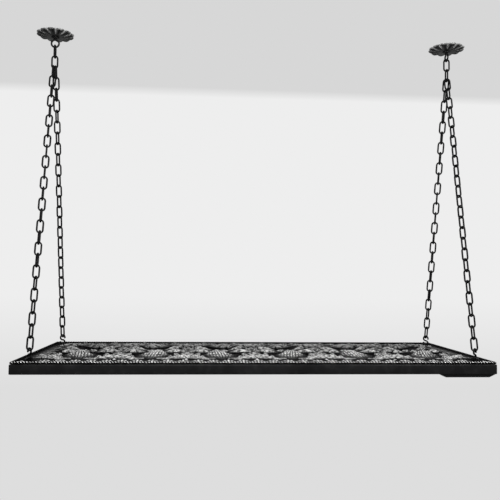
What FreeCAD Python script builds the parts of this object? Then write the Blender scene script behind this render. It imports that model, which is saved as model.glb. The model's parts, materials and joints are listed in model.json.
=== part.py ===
"""Hanging storage rack: an ornamented steel shelf on four chain legs below two ceiling eyes.

Millimetres. The origin lies on the ceiling, midway between the two eyes; X runs along the shelf,
Y away from the viewer and Z up, so the rack hangs below zero.
"""
import FreeCAD
import Part
import math
import os

Vector = FreeCAD.Vector

# Driving dimensions of the shelf frame, a mitred rectangular tube
shelf_length = 1000.0
shelf_depth = 400.0
tube_height = 20.0
tube_width = 40.0
tube_wall = 1.5

# Driving dimensions of the rope border, which stands on the frame
rope_diameter = 6.0
rope_inset = 1.5

# Driving dimensions of the pierced panel and its ornament
panel_thickness = 2.0
panel_gap = 0.5
field_margin = 6.0
cell_count = 6
leaf_root_inset = 15.4
leaf_tip_gap = 21.6
leaf_rise = 9.0
rosette_diameter = 34.0
rosette_rise = 4.5
scroll_diameter = 30.0
scroll_band = 6.0
scroll_rise = 3.0

# Driving dimensions of the cross bars under the panel
cross_bar_width = 20.0
cross_bar_thickness = 3.0

# Driving dimensions of the chain
link_inner_length = 25.5
link_width = 17.0
link_wire = 4.0
leg_links = 26
leg_edge_inset = 50.0
link_gap = 0.1
join_gap = 1.7
left_leg_offset = 2.3
left_leg_spread = 1.0
right_leg_offset = 3.4
leg_twist_degrees = 45.0

# Driving dimensions of the ceiling fittings
eye_end_inset = 27.0
canopy_diameter = 86.0
canopy_depth = 8.0
canopy_wall = 1.5
canopy_petals = 12
collar_diameter = 19.0
collar_height = 4.0
eye_ring_diameter = 22.0
eye_wire = 4.4
shank_diameter = 6.0
shank_length = 30.0
neck_diameter = 7.0
neck_clearance = 0.2

# Driving dimensions of the S hooks and of the staples they hook under
hook_loop_diameter = 16.0
hook_wire = 4.0
hook_gap = 0.6
staple_wire = 4.0
staple_span = 17.0
staple_rise = 7.3
staple_hole_clearance = 0.4
hook_slot_length = 25.0
hook_slot_width = 8.0

# Driving dimensions of the lug under the front tube
lug_length = 123.0
lug_slope_run = 15.0
lug_width = 20.0
lug_drop = 7.0
lug_end_inset = 1.0
lug_front_inset = 4.0

# One overrun serves every cut
overrun = 5.0

# Counts of flat sides: wire sections, rope sections, eye rings, volutes, crescent arcs and lens arcs
wire_sides = 5
rope_sides = 8
ring_sides = 12
scroll_sides = 8
crescent_flats = 4
lens_flats = 3

# Shares of a canopy's depth and radius at each ring, rim first, and of its flutes
canopy_depth_shares = (0.0, 0.55, 1.0)
canopy_radius_shares = (1.0, 0.84, 0.42)
canopy_flute_share = 0.93
collar_bevel_share = 0.3

# Shares of a cell's pitch and of the field's depth: the openings of one quarter cell
crescent_outer_shares = ((0.27, -0.46), (0.455, -0.27), (0.16, -0.055))
crescent_inner_shares = ((0.27, -0.46), (0.345, -0.26), (0.16, -0.055))
side_lens_shares = ((0.17, 0.0), (0.29, -0.032), (0.41, 0.0))
edge_lens_shares = ((0.5, -0.45), (0.54, -0.37), (0.5, -0.29))
leaf_width_share = 0.5
scroll_place_shares = (0.5, -0.155)

# Shares of a leaf's half width and of its length, from the root up one side to the tip
leaf_outline_shares = (
    (0.18, 0.0), (0.64, 0.1), (0.58, 0.22), (1.0, 0.38), (0.74, 0.5), (0.8, 0.68), (0.44, 0.8), (0.0, 1.0),
)

# Shares of a leaf's outline, of its shift towards the tip and of its rise at each ring, foot first
leaf_ring_shares = ((1.0, 0.0, 0.0), (0.78, 0.14, 0.7), (0.4, 0.42, 1.0))

# Shares of a rosette's radius and rise, of a volute's band and rise, and of a staple's span
rosette_ring_shares = ((1.0, 0.0), (0.8, 0.7), (0.35, 1.0))
scroll_ridge_shares = ((0.0, 0.0), (0.5, 1.0), (1.0, 0.0))
staple_corner_share = 0.22

# The frame follows from the chain: heights are worked out downwards from the ceiling
octagon_share = math.tan(math.radians(22.5))
half_spacing = shelf_length / 2 - eye_end_inset
ring_mean_radius = (eye_ring_diameter - eye_wire) / 2
ring_centre_z = -canopy_depth - collar_height - eye_ring_diameter / 2
ring_bar_z = ring_centre_z - ring_mean_radius
link_half_width = (link_width - link_wire) / 2
link_bar_span = link_inner_length + link_wire
link_contact = link_wire + link_gap
link_pitch = link_bar_span - link_contact
top_link_upper_z = ring_bar_z + (eye_wire + link_wire) / 2 + link_gap
top_link_lower_z = top_link_upper_z - link_bar_span
joining_link_upper_z = top_link_lower_z + link_contact
joining_link_lower_z = joining_link_upper_z - link_bar_span
leg_run = leg_links * link_pitch + link_gap - join_gap
leg_half_spread = shelf_depth / 2 - leg_edge_inset
hook_radius = (hook_loop_diameter - hook_wire) / 2
hook_bar_span = 4 * hook_radius
hook_contact = (link_wire + hook_wire) / 2 + link_gap
staple_contact = (hook_wire + staple_wire) / 2 + hook_gap
leg_reach = math.hypot(leg_half_spread - left_leg_spread, left_leg_offset)
leg_end_z = joining_link_lower_z - math.sqrt(leg_run**2 - leg_reach**2)
hook_pivot_z = leg_end_z + hook_contact - hook_bar_span
staple_bar_z = hook_pivot_z + staple_contact
shelf_z = staple_bar_z - staple_rise
panel_inset = rope_inset + rope_diameter + panel_gap
panel_length = shelf_length - 2 * panel_inset
panel_depth = shelf_depth - 2 * panel_inset
panel_top_z = shelf_z + panel_thickness
field_length = shelf_length - 2 * tube_width - 2 * field_margin
field_depth = shelf_depth - 2 * tube_width - 2 * field_margin
cell_pitch = field_length / cell_count
leaf_root = field_depth / 2 - leaf_root_inset
leaf_length = leaf_root - rosette_diameter / 2 - leaf_tip_gap
leaf_width = cell_pitch * leaf_width_share


def polygon(points):
    """A closed wire through points."""
    return Part.makePolygon([*points, points[0]])


def skin(rings, closed=False):
    """The solid inside a row of rings of points, capped at both ends unless it is closed."""
    sides = len(rings[0])
    faces = []
    for i in range(len(rings) if closed else len(rings) - 1):
        near = rings[i]
        far = rings[(i + 1) % len(rings)]
        for j in range(sides):
            k = (j + 1) % sides
            faces.append(Part.Face(polygon([near[j], near[k], far[k], far[j]])))
    if not closed:
        faces.append(Part.Face(polygon(rings[0])))
        faces.append(Part.Face(polygon(rings[-1])))
    solid = Part.makeSolid(Part.makeShell(faces))
    if solid.Volume < 0:
        solid.reverse()
    return solid


def to_plane(points, direction, centre, normal):
    """Slides points along a direction into the plane through centre."""
    slope = direction.dot(normal)
    return [p + direction * ((centre - p).dot(normal) / slope) for p in points]


def bar_along(path, diameter, side_hint, sides, closed=False):
    """A bar of regular section along straight runs, mitred at every corner.

    side_hint is a direction across the first run, which sets how the section is turned.
    """
    count = len(path)
    runs = [path[(i + 1) % count] - path[i] for i in range(count if closed else count - 1)]
    ways = [run.normalize() for run in runs]
    across = ways[0].cross(side_hint).normalize()
    upright = across.cross(ways[0])
    middle = (path[0] + path[1]) / 2
    section = []
    for i in range(sides):
        turn = 2 * math.pi * (i + 0.5) / sides
        section.append(middle + (across * math.cos(turn) + upright * math.sin(turn)) * (diameter / 2))
    rings = [] if closed else [to_plane(section, ways[0], path[0], ways[0])]
    for i in range(1, count + 1 if closed else count):
        before = ways[i - 1]
        after = ways[i % len(ways)] if closed or i < count - 1 else before
        section = to_plane(section, before, path[i % count], (before + after).normalize())
        rings.append(section)
    return skin(rings, closed)


# Ceiling fittings


def fluted_ring(crest, z):
    """One level ring of a canopy, with a crest and a flute for every petal."""
    points = []
    for i in range(2 * canopy_petals):
        turn = math.pi * i / canopy_petals
        radius = crest if i % 2 == 0 else crest * canopy_flute_share
        points.append(Vector(radius * math.cos(turn), radius * math.sin(turn), z))
    return points


def canopy_rings(wall):
    """The rings of a canopy from the ceiling down, drawn in by a wall all round."""
    rings = []
    for depth_share, radius_share in zip(canopy_depth_shares, canopy_radius_shares):
        crest = canopy_diameter / 2 * radius_share - wall
        rise = wall if depth_share else 0
        rings.append(fluted_ring(crest, rise - canopy_depth * depth_share))
    return rings


def round_ring(x, y, radius, z, sides):
    """The corners of a level ring."""
    points = []
    for i in range(sides):
        turn = 2 * math.pi * i / sides
        points.append(Vector(x + radius * math.cos(turn), y + radius * math.sin(turn), z))
    return points


def upright_bar(flat_radius, low, high):
    """A bar of ring section on the vertical axis, measured across its flats."""
    radius = flat_radius / math.cos(math.pi / ring_sides)
    return skin([round_ring(0, 0, radius, z, ring_sides) for z in (low, high)])


def canopy(x):
    """A shallow fluted dish, open towards the ceiling, with a hole for the eye's neck."""
    dish = skin(canopy_rings(0))
    mouth = fluted_ring(canopy_diameter / 2 - canopy_wall, overrun)
    hollow = skin([mouth, *canopy_rings(canopy_wall)])
    bore = upright_bar(neck_diameter / 2 + neck_clearance, -canopy_depth - overrun, overrun)
    return dish.cut(hollow).cut(bore).translate(Vector(x, 0, 0))


def collar(x):
    """The faceted collar that the eye presses against the canopy."""
    top = -canopy_depth
    bottom = top - collar_height
    bore = (neck_diameter / 2 + neck_clearance) / math.cos(math.pi / ring_sides)
    rim = collar_diameter / 2
    bevel = collar_height * collar_bevel_share
    profile = [(bore, top), (rim - bevel, top), (rim, top - bevel)]
    profile += [(rim, bottom + bevel), (rim - bevel, bottom), (bore, bottom)]
    return skin([round_ring(x, 0, radius, z, ring_sides) for radius, z in profile], True)


def eye_bolt(x, face_turn):
    """A ring under a neck that passes the collar and canopy, and a shank into the ceiling."""
    corner_radius = ring_mean_radius / math.cos(math.pi / ring_sides)
    path = []
    for i in range(ring_sides):
        turn = 2 * math.pi * (i + 0.5) / ring_sides
        z = ring_centre_z - corner_radius * math.cos(turn)
        path.append(Vector(corner_radius * math.sin(turn), 0, z))
    ring = bar_along(path, eye_wire, Vector(0, 1, 0), rope_sides, True)
    ring_top_z = ring_centre_z + ring_mean_radius
    neck = upright_bar(neck_diameter / 2 * math.cos(math.pi / ring_sides), ring_top_z, 0)
    shank = Part.makeCylinder(shank_diameter / 2, shank_length)
    eye = ring.fuse(neck).fuse(shank)
    eye.rotate(Vector(0, 0, 0), Vector(0, 0, 1), face_turn)
    return eye.translate(Vector(x, 0, 0))


# Chain


def link_at(upper, way, face_turn):
    """One link whose upper bar lies at a point and which hangs along a direction.

    At a face turn of zero its flat side faces the viewer, and the turn is about the direction.
    """
    bend = link_half_width * octagon_share
    straight = link_bar_span / 2 - link_half_width + bend
    half = link_bar_span / 2
    corners = [
        (link_half_width, straight), (bend, half), (-bend, half), (-link_half_width, straight),
        (-link_half_width, -straight), (-bend, -half), (bend, -half), (link_half_width, -straight),
    ]
    across = Vector(1, 0, 0)
    across = (across - way * across.dot(way)).normalize()
    depth = across.cross(way)
    turn = math.radians(face_turn)
    flat = across * math.cos(turn) + depth * math.sin(turn)
    centre = upper + way * half
    path = [centre + flat * a - way * b for a, b in corners]
    return bar_along(path, link_wire, flat.cross(way), wire_sides, True)


def link_turn(side_x, side_y, number):
    """How a leg's link is turned about the leg: every other link by a right angle, with a slow twist."""
    first = 90 if side_x < 0 else 0
    return first + 90 * (number % 2) - side_y * leg_twist_degrees * number / (leg_links - 1)


def corner_turn(side_x, side_y):
    """The turn of a leg's last link, which its S hook and staple follow."""
    return link_turn(side_x, side_y, leg_links - 1)


def leg_points(side_x, side_y):
    """Where a leg starts on its joining link and where its last bar lies."""
    x = side_x * half_spacing
    if side_x < 0:
        start = Vector(x + side_y * left_leg_offset, side_y * left_leg_spread, joining_link_lower_z)
    else:
        start = Vector(x, side_y * right_leg_offset, joining_link_lower_z)
    return start, Vector(x, side_y * leg_half_spread, leg_end_z)


def chain_leg(side_x, side_y):
    """The links of one leg, spread evenly from the joining link's lower bar to the S hook."""
    start, end = leg_points(side_x, side_y)
    run = end - start
    way = run / run.Length
    first = link_wire + join_gap
    step = (run.Length + first - link_bar_span) / (leg_links - 1)
    links = []
    for i in range(leg_links):
        links.append(link_at(start + way * (i * step - first), way, link_turn(side_x, side_y, i)))
    return Part.makeCompound(links)


def s_hook(side_x, side_y):
    """A flat S of bent wire that joins a leg's last link to its staple, square to both."""
    corner_radius = hook_radius / math.cos(math.pi / 8)
    half_turns = [math.radians(22.5 + 45 * i) for i in range(6)]
    upper = []
    for turn in half_turns:
        upper.append(Vector(
            -corner_radius * math.sin(turn), 0, hook_radius - corner_radius * math.cos(turn)
        ))
    tip = Vector(hook_radius, 0, hook_radius)
    path = [tip, *reversed(upper)]
    path += [Vector(-p.x, 0, -p.z) for p in upper]
    path.append(Vector(-tip.x, 0, -tip.z))
    hook = bar_along(path, hook_wire, Vector(0, 1, 0), wire_sides)
    hook.rotate(Vector(0, 0, 0), Vector(0, 0, 1), corner_turn(side_x, side_y) + 90)
    middle_z = hook_pivot_z + hook_bar_span / 2
    return hook.translate(Vector(side_x * half_spacing, side_y * leg_half_spread, middle_z))


# Shelf


def mitred_bar(length, depth, section):
    """A bar along the front edge of a frame, mitred at both ends.

    section holds each corner's inset from the frame's outer face and its height.
    """
    ends = []
    for side in (-1, 1):
        ends.append([
            Vector(side * (length / 2 - inset), -depth / 2 + inset, z) for inset, z in section
        ])
    return skin(ends)


def frame_tube(length, depth):
    """One rectangular tube of the frame, with its hollow."""
    bottom = shelf_z - tube_height
    outer = [(0, bottom), (tube_width, bottom), (tube_width, shelf_z), (0, shelf_z)]
    low = bottom + tube_wall
    high = shelf_z - tube_wall
    near = tube_wall
    far = tube_width - tube_wall
    inner = [(near, low), (far, low), (far, high), (near, high)]
    return mitred_bar(length, depth, outer).cut(mitred_bar(length, depth, inner))


def rope_rod(length, depth):
    """The core of one side of the rope border."""
    radius = rope_diameter / 2
    corner_radius = radius / math.cos(math.pi / rope_sides)
    section = []
    for i in range(rope_sides):
        turn = 2 * math.pi * (i + 0.5) / rope_sides
        inset = rope_inset + radius + corner_radius * math.cos(turn)
        section.append((inset, shelf_z + radius + corner_radius * math.sin(turn)))
    return mitred_bar(length, depth, section)


def arc_points(points, flats):
    """Points along the arc through three points, one for each end of its flats."""
    return Part.Arc(*points).toShape().discretize(flats + 1)


def field_point(cell_x, side_x, side_y, shares, z):
    """A point of one cell: shares of the pitch and of the field's depth, mirrored by the sides."""
    along, deep = shares
    return Vector(cell_x + side_x * along * cell_pitch, side_y * deep * field_depth, z)


def opening(cell_x, side_x, side_y, one_arc, other_arc, flats):
    """A cutter for an opening between two arcs that share their ends."""
    z = shelf_z - overrun
    one, other = [
        arc_points([field_point(cell_x, side_x, side_y, s, z) for s in shares], flats)
        for shares in (one_arc, other_arc)
    ]
    face = Part.Face(polygon(one + other[-2:0:-1]))
    return face.extrude(Vector(0, 0, panel_thickness + 2 * overrun))


def mirrored_arc(shares, axis):
    """The same arc with its middle point mirrored across the line through its ends."""
    first, middle, last = shares
    flipped = list(middle)
    flipped[axis] = 2 * first[axis] - middle[axis]
    return (first, tuple(flipped), last)


def cell_centres():
    """The middle of each repeat of the ornament along the shelf."""
    return [cell_pitch * (i - (cell_count - 1) / 2) for i in range(cell_count)]


def panel_openings():
    """The cutters of the pierced field."""
    cutters = []
    crescent = (crescent_outer_shares, crescent_inner_shares, crescent_flats)
    side_lens = (side_lens_shares, mirrored_arc(side_lens_shares, 1), lens_flats)
    edge_lens = (edge_lens_shares, mirrored_arc(edge_lens_shares, 0), lens_flats)
    for x in cell_centres():
        for side_x in (-1, 1):
            cutters.append(opening(x, side_x, 1, *side_lens))
            for side_y in (-1, 1):
                cutters.append(opening(x, side_x, side_y, *crescent))
    for x in cell_centres()[:-1]:
        for side_y in (-1, 1):
            cutters.append(opening(x, 1, side_y, *edge_lens))
    return cutters


def panel():
    """The pierced plate inside the rope border, with holes for the staples and slots for the hooks."""
    plate = Part.makeBox(
        panel_length, panel_depth, panel_thickness,
        Vector(-panel_length / 2, -panel_depth / 2, shelf_z),
    )
    cutters = panel_openings()
    hole_radius = (staple_wire / 2 + staple_hole_clearance) / math.cos(math.pi / rope_sides)
    for x, y, turn in staple_places():
        slot = Part.makeBox(
            hook_slot_width, hook_slot_length, panel_thickness + 2 * overrun,
            Vector(-hook_slot_width / 2, -hook_slot_length / 2, shelf_z - overrun),
        )
        slot.rotate(Vector(0, 0, 0), Vector(0, 0, 1), turn)
        cutters.append(slot.translate(Vector(x, y, 0)))
        for side in (-1, 1):
            reach = side * staple_span / 2
            foot_x = x + reach * math.cos(math.radians(turn))
            foot_y = y + reach * math.sin(math.radians(turn))
            cutters.append(skin([
                round_ring(foot_x, foot_y, hole_radius, shelf_z - overrun, rope_sides),
                round_ring(foot_x, foot_y, hole_radius, panel_top_z + overrun, rope_sides),
            ]))
    return plate.cut(Part.makeCompound(cutters))


def leaf(x, side_y):
    """A raised lobed leaf whose tip points to the middle of the shelf."""
    half = leaf_width / 2
    outline = [(w * half, t * leaf_length) for w, t in leaf_outline_shares]
    outline += [(-a, b) for a, b in reversed(outline[:-1])]
    rings = []
    for scale, shift, rise in leaf_ring_shares:
        z = panel_top_z + leaf_rise * rise
        reach = leaf_length * shift - leaf_root
        rings.append([Vector(x + scale * a, -side_y * (reach + scale * b), z) for a, b in outline])
    return skin(rings)


def leaves():
    """Two leaves in every cell, root to the border."""
    return Part.makeCompound([leaf(x, side) for x in cell_centres() for side in (-1, 1)])


def rosettes():
    """A low round boss in the middle of every cell."""
    bosses = []
    for x in cell_centres():
        rings = []
        for radius_share, rise_share in rosette_ring_shares:
            radius = rosette_diameter / 2 * radius_share
            rings.append(round_ring(x, 0, radius, panel_top_z + rosette_rise * rise_share, ring_sides))
        bosses.append(skin(rings))
    return Part.makeCompound(bosses)


def scrolls():
    """The raised volute rings between the cells, each a ridge on the plate."""
    ridges = []
    along, deep = scroll_place_shares
    for x in cell_centres()[:-1]:
        for side_y in (-1, 1):
            centre_x = x + along * cell_pitch
            centre_y = side_y * deep * field_depth
            rings = []
            for band_share, rise_share in scroll_ridge_shares:
                radius = scroll_diameter / 2 - scroll_band * band_share
                z = panel_top_z + scroll_rise * rise_share
                rings.append(round_ring(centre_x, centre_y, radius, z, scroll_sides))
            ridges.append(skin(rings, True))
    return Part.makeCompound(ridges)


def cross_bar(x):
    """A flat bar under a row of leaves, between the front and back tubes."""
    length = shelf_depth - 2 * tube_width
    return Part.makeBox(
        cross_bar_width, length, cross_bar_thickness,
        Vector(x - cross_bar_width / 2, -length / 2, shelf_z - cross_bar_thickness),
    )


def staple_places():
    """Each staple's place and the turn of its bar, set across the corner."""
    places = []
    for side_x in (-1, 1):
        for side_y in (-1, 1):
            places.append((side_x * half_spacing, side_y * leg_half_spread, corner_turn(side_x, side_y)))
    return places


def staple(x, y, turn):
    """A welded wire arch that an S hook holds."""
    half = staple_span / 2
    corner = staple_span * staple_corner_share
    path = [
        Vector(-half, 0, 0), Vector(-half, 0, staple_rise - corner), Vector(corner - half, 0, staple_rise),
        Vector(half - corner, 0, staple_rise), Vector(half, 0, staple_rise - corner), Vector(half, 0, 0),
    ]
    arch = bar_along(path, staple_wire, Vector(0, 1, 0), wire_sides)
    arch.rotate(Vector(0, 0, 0), Vector(0, 0, 1), turn)
    return arch.translate(Vector(x, y, shelf_z))


def under_lug():
    """A boat-shaped lug under the front tube's right end."""
    top = shelf_z - tube_height
    right = shelf_length / 2 - lug_end_inset
    left = right - lug_length
    low = top - lug_drop
    outline = [(left, top), (left + lug_slope_run, low), (right - lug_slope_run, low), (right, top)]
    front = -shelf_depth / 2 + lug_front_inset
    face = Part.Face(polygon([Vector(x, front, z) for x, z in outline]))
    return face.extrude(Vector(0, lug_width, 0))


# Assembly


def rack_nodes():
    """Every piece of the rack by name."""
    nodes = {}
    down = Vector(0, 0, -1)
    for side, side_x in (("left", -1), ("right", 1)):
        x = side_x * half_spacing
        edge_on = 90 if side_x > 0 else 0
        nodes[f"{side}_canopy"] = canopy(x)
        nodes[f"{side}_collar"] = collar(x)
        nodes[f"{side}_eye_bolt"] = eye_bolt(x, edge_on)
        nodes[f"{side}_top_link"] = link_at(Vector(x, 0, top_link_upper_z), down, 90 - edge_on)
        nodes[f"{side}_joining_link"] = link_at(Vector(x, 0, joining_link_upper_z), down, edge_on)
        for end, side_y in (("front", -1), ("back", 1)):
            nodes[f"{side}_{end}_chain"] = chain_leg(side_x, side_y)
            nodes[f"{side}_{end}_s_hook"] = s_hook(side_x, side_y)
    for name, turn in (("front", 0), ("right", 90), ("back", 180), ("left", 270)):
        sizes = (shelf_length, shelf_depth) if turn % 180 == 0 else (shelf_depth, shelf_length)
        for kind, make in (("tube", frame_tube), ("rope", rope_rod)):
            bar = make(*sizes)
            bar.rotate(Vector(0, 0, 0), Vector(0, 0, 1), turn)
            nodes[f"{name}_{kind}"] = bar
    nodes["pierced_panel"] = panel()
    nodes["leaf_ornaments"] = leaves()
    nodes["rosettes"] = rosettes()
    nodes["scroll_ornaments"] = scrolls()
    second_cell = cell_centres()[1]
    nodes["left_cross_bar"] = cross_bar(second_cell)
    nodes["right_cross_bar"] = cross_bar(-second_cell)
    nodes["corner_staples"] = Part.makeCompound([staple(*place) for place in staple_places()])
    nodes["under_lug"] = under_lug()
    return nodes


def main():
    """Builds the rack and writes one file for every piece."""
    os.makedirs("parts", exist_ok=True)
    for name, shape in rack_nodes().items():
        shape.exportStep(f"parts/{name}.step")


if __name__ == "__main__":
    main()
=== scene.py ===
"""Looks of the hanging storage rack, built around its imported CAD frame."""

import json
import logging
import math
from dataclasses import dataclass, replace
from enum import Enum
from functools import cached_property, lru_cache
from typing import Callable, Iterable, Sequence

import bmesh
import bpy
import numpy as np
from bmesh.types import BMEdge, BMesh, BMFace, BMVert
from mathutils import Matrix, Vector

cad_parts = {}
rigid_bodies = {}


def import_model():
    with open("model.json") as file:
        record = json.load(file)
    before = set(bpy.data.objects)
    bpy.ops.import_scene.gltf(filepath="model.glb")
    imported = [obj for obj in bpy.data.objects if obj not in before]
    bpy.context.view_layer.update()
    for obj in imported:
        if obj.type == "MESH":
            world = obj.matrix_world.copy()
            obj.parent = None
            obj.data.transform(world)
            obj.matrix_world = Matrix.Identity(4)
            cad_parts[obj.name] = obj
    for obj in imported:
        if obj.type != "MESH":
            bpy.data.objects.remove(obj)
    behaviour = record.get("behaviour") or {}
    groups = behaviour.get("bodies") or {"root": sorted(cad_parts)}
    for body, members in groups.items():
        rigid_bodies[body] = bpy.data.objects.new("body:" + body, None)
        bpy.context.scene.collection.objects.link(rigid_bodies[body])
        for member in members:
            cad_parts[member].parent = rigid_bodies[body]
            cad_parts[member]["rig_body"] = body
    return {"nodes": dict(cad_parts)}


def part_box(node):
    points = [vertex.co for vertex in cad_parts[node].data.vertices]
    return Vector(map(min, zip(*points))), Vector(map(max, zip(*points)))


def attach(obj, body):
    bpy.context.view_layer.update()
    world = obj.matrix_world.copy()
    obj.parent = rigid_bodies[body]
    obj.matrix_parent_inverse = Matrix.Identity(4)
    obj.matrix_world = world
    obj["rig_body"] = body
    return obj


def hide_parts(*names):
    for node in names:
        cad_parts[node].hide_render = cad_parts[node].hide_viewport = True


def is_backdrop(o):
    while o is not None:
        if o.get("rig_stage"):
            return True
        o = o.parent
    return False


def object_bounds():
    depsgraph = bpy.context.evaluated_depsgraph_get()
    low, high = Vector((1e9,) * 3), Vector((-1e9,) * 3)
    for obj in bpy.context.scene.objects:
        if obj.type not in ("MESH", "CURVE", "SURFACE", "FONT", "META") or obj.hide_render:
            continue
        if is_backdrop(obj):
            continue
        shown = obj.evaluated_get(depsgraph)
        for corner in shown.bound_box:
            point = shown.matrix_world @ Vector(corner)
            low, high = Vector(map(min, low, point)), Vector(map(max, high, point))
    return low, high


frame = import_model()
CAD_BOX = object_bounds()

LOG = logging.getLogger("hanging_rack")
MM = 0.001
UP = Vector((0.0, 0.0, 1.0))
ISLAND_WELD = 0.005 * MM
MIX_BELOW, MIX_ABOVE, MIX_RESULT = 6, 7, 2
Pair = tuple[float, float]


class Slot(Enum):
    """The record's material slots."""

    CHAIN = "chain_paint"
    ORNAMENT = "ornament_paint"
    FITTING = "fitting_paint"
    FRAME = "frame_paint"


class Finish(Enum):
    """The paints of the rack."""

    CHAIN = "chain_black"
    FITTING = "fitting_black"
    FRAME = "frame_black"
    ROPE = "rope_black"
    GROUND = "ground_black"
    LEAF = "leaf_black"


SIDES = ("left", "right")
ENDS = ("front", "back")
BOTH = (-1, 1)
QUARTERS = tuple((x, y) for x in BOTH for y in BOTH)
# Name of the vertex layer that holds wear together with painted highlight: paler crests and tops that stand
# in for light falling on them.
WEAR_AND_HIGHLIGHT = "wear_and_highlight"


class Socket:
    """A shader output that takes part in plain arithmetic."""

    def __init__(self, graph: "Graph", output: bpy.types.NodeSocket) -> None:
        """Keeps the graph the output belongs to.

        Args:
            graph: The graph that makes further nodes.
            output: The node output that this socket stands for.
        """
        self.graph = graph
        self.output = output

    def _math(self, operation: str, first: "Socket | float", second: "Socket | float") -> "Socket":
        """Adds a Math node."""
        return self.graph.node("ShaderNodeMath", {0: first, 1: second}, operation=operation)

    def __add__(self, other: "Socket | float") -> "Socket":
        """The sum."""
        return self._math("ADD", self, other)

    def __radd__(self, other: float) -> "Socket":
        """The sum with a number in front."""
        return self._math("ADD", other, self)

    def __sub__(self, other: "Socket | float") -> "Socket":
        """The difference."""
        return self._math("SUBTRACT", self, other)

    def __rsub__(self, other: float) -> "Socket":
        """The difference from a number."""
        return self._math("SUBTRACT", other, self)

    def __mul__(self, other: "Socket | float") -> "Socket":
        """The product."""
        return self._math("MULTIPLY", self, other)

    def __rmul__(self, other: float) -> "Socket":
        """The product with a number in front."""
        return self._math("MULTIPLY", other, self)

    def __truediv__(self, other: "Socket | float") -> "Socket":
        """The quotient."""
        return self._math("DIVIDE", self, other)

    def __rtruediv__(self, other: float) -> "Socket":
        """The quotient of a number."""
        return self._math("DIVIDE", other, self)

    def __abs__(self) -> "Socket":
        """The value without its sign."""
        return self._math("ABSOLUTE", self, 0.0)

    def most(self, other: "Socket | float") -> "Socket":
        """The greater of two values."""
        return self._math("MAXIMUM", self, other)


class Graph:
    """A node tree that is written as expressions of sockets."""

    def __init__(self, tree: bpy.types.NodeTree) -> None:
        """Clears the tree.

        Args:
            tree: The node tree of a material or of the world.
        """
        self.tree = tree
        tree.nodes.clear()

    def node(
        self, kind: str, inputs: dict[int | str, object], output: int | str = 0, **settings: object
    ) -> Socket:
        """Adds a node and connects or sets its inputs.

        Args:
            kind: The node's type.
            inputs: Sockets to connect or constants to set, by input name or number.
            output: The output to hand on.
            **settings: Attributes of the node.

        Returns:
            The chosen output.
        """
        made = self.tree.nodes.new(kind)
        for name, value in settings.items():
            setattr(made, name, value)
        for key, value in inputs.items():
            if isinstance(value, Socket):
                self.tree.links.new(value.output, made.inputs[key])
            else:
                made.inputs[key].default_value = value
        return Socket(self, made.outputs[output] if len(made.outputs) else None)

    def span(self, value: Socket, source: Pair, target: Pair) -> Socket:
        """Maps a value from a source range to a target range, held at both ends."""
        ends = {"From Min": source[0], "From Max": source[1], "To Min": target[0], "To Max": target[1]}
        return self.node("ShaderNodeMapRange", {"Value": value, **ends}, clamp=True)

    def blend(self, factor: Socket, below: object, above: object) -> Socket:
        """Mixes two colours; the factor is the share of the second one."""
        inputs = {"Factor": factor, MIX_BELOW: below, MIX_ABOVE: above}
        return self.node("ShaderNodeMix", inputs, MIX_RESULT, data_type="RGBA")


def grey(tone: float, blue: float = 1.0) -> tuple[float, float, float, float]:
    """A grey whose blue is a share of its red and green."""
    return (tone, tone, tone * blue, 1.0)


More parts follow.
